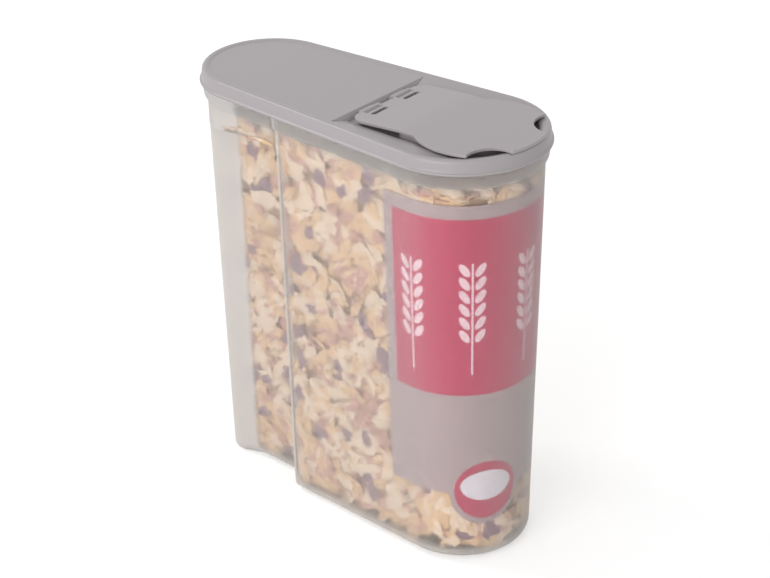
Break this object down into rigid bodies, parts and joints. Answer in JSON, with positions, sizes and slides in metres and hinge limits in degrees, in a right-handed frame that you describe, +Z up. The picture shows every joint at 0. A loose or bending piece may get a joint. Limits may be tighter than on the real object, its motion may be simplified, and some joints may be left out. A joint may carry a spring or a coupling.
{
  "type": "cereal storage container",
  "caption": "Tapered translucent dry-food container with side grips, a press-on lid, a flip spout flap with a finger tab, and a paper insert inside the front wall.",
  "frame": {"origin": "under the middle of the container's overall box, on the surface that it stands on", "axes": "+X along the container towards the spout, +Y across it, +Z up out of the lid"},
  "size_m": [0.2254, 0.0984, 0.2521],
  "materials": {
    "frosted_wall": "frosted translucent polypropylene, finely satin",
    "card": "printed card, matt",
    "lid_grey": "satin moulded polypropylene"
  },
  "bodies": {
    "container": {"container": "frosted_wall", "label_card": "card"},
    "lid": {"lid": "lid_grey"},
    "flap": {"flap": "lid_grey"}
  },
  "joints": [
    {"name": "lid_lift", "type": "slide", "parent": "container", "child": "lid", "axis": [0, 0, 1], "range_m": [0, 0.06]},
    {"name": "flap_hinge", "type": "hinge", "parent": "lid", "child": "flap", "pos_m": [0.011, 0, 0.248], "axis": [0, -1, 0], "range_deg": [0, 130]}
  ]
}
